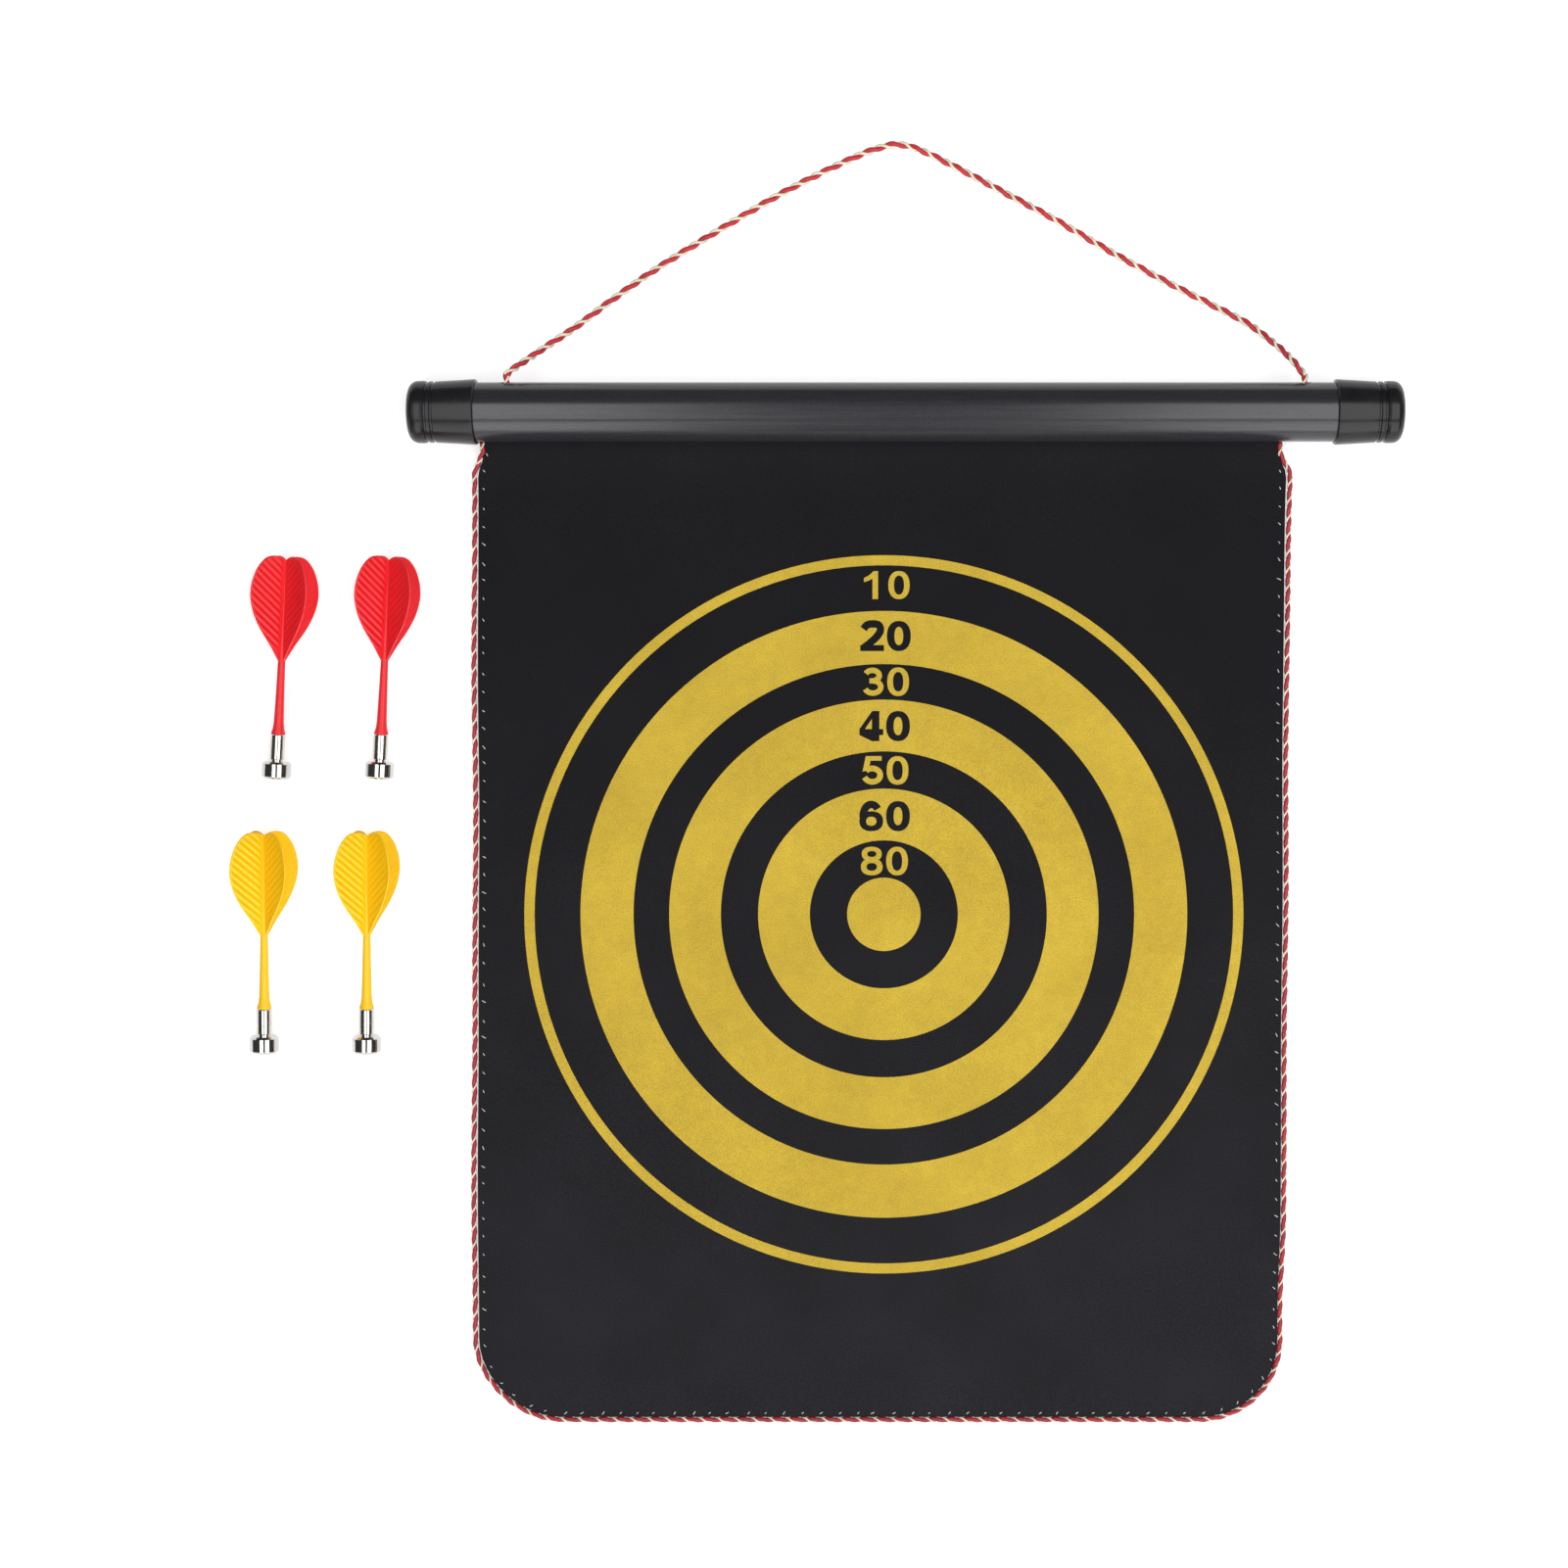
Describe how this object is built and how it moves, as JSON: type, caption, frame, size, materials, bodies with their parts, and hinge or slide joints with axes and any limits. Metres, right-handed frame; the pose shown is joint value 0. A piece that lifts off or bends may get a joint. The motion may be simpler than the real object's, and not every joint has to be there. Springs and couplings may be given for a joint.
{
  "type": "magnetic dartboard",
  "caption": "Roll-up magnetic dartboard: a flocked mat with a ringed target hangs from a capped tube on a twisted cord, with magnet-tipped darts beside it.",
  "frame": {"origin": "centre of the bull, on the back face of the mat, with the set lying face up on a table", "axes": "+X to the right as the target is read, +Y towards the tube (up when the board hangs), +Z out of the playing face"},
  "size_m": [0.4246, 0.4711, 0.0237],
  "materials": {
    "tube_plastic": "satin dark grey, finely drawn along its length",
    "cap_plastic": "semi-gloss black moulding",
    "steel_rod": "drawn wire",
    "black_flock": "matte black flocked cloth",
    "magnetic_sheet": "steel-filled flexible sheet",
    "gold_print": "matte gold screen print on cloth",
    "twisted_cord": "red ply twisted with a thinner cream ply",
    "pale_thread": "pale sewing thread",
    "red_plastic": "red moulding, semi-gloss",
    "yellow_plastic": "yellow moulding, semi-gloss",
    "nickel_barrel": "nickel-plated, bright",
    "nickel_magnet": "nickel-plated magnet, bright"
  },
  "bodies": {
    "hanging_tube": {"tube": "tube_plastic", "hem_rod": "steel_rod", "mat_hem": "black_flock", "cord_knot_left": "twisted_cord", "cord_knot_right": "twisted_cord"},
    "cap_left": {"end_cap_left": "cap_plastic"},
    "cap_right": {"end_cap_right": "cap_plastic"},
    "hanger": {"hanger_cord": "twisted_cord"},
    "mat": {"front_cloth": "black_flock", "magnetic_core": "magnetic_sheet", "back_cloth": "black_flock", "target_print": "gold_print", "edge_cord": "twisted_cord", "edge_thread": "pale_thread"},
    "red_dart_1": {"red_dart_1_flight": "red_plastic", "red_dart_1_barrel": "nickel_barrel", "red_dart_1_magnet": "nickel_magnet"},
    "red_dart_2": {"red_dart_2_flight": "red_plastic", "red_dart_2_barrel": "nickel_barrel", "red_dart_2_magnet": "nickel_magnet"},
    "yellow_dart_1": {"yellow_dart_1_flight": "yellow_plastic", "yellow_dart_1_barrel": "nickel_barrel", "yellow_dart_1_magnet": "nickel_magnet"},
    "yellow_dart_2": {"yellow_dart_2_flight": "yellow_plastic", "yellow_dart_2_barrel": "nickel_barrel", "yellow_dart_2_magnet": "nickel_magnet"}
  },
  "joints": [
    {"name": "mat_lift", "type": "hinge", "parent": "hanging_tube", "child": "mat", "pos_m": [0, 0.17285, 0.00588], "axis": [-1, 0, 0], "range_deg": [0, 80]},
    {"name": "hanger_swing", "type": "hinge", "parent": "hanging_tube", "child": "hanger", "pos_m": [0.008, 0.19614, 0.01472], "axis": [1, 0, 0], "range_deg": [0, 100]},
    {"name": "cap_left_pull", "type": "slide", "parent": "hanging_tube", "child": "cap_left", "axis": [-1, 0, 0], "range_m": [0, 0.03]},
    {"name": "cap_right_pull", "type": "slide", "parent": "hanging_tube", "child": "cap_right", "axis": [1, 0, 0], "range_m": [0, 0.03]},
    {"name": "red_dart_1_pick_up", "type": "slide", "parent": "hanging_tube", "child": "red_dart_1", "axis": [0, 0, 1], "range_m": [0, 0.1]},
    {"name": "red_dart_2_pick_up", "type": "slide", "parent": "hanging_tube", "child": "red_dart_2", "axis": [0, 0, 1], "range_m": [0, 0.1]},
    {"name": "yellow_dart_1_pick_up", "type": "slide", "parent": "hanging_tube", "child": "yellow_dart_1", "axis": [0, 0, 1], "range_m": [0, 0.1]},
    {"name": "yellow_dart_2_pick_up", "type": "slide", "parent": "hanging_tube", "child": "yellow_dart_2", "axis": [0, 0, 1], "range_m": [0, 0.1]}
  ]
}
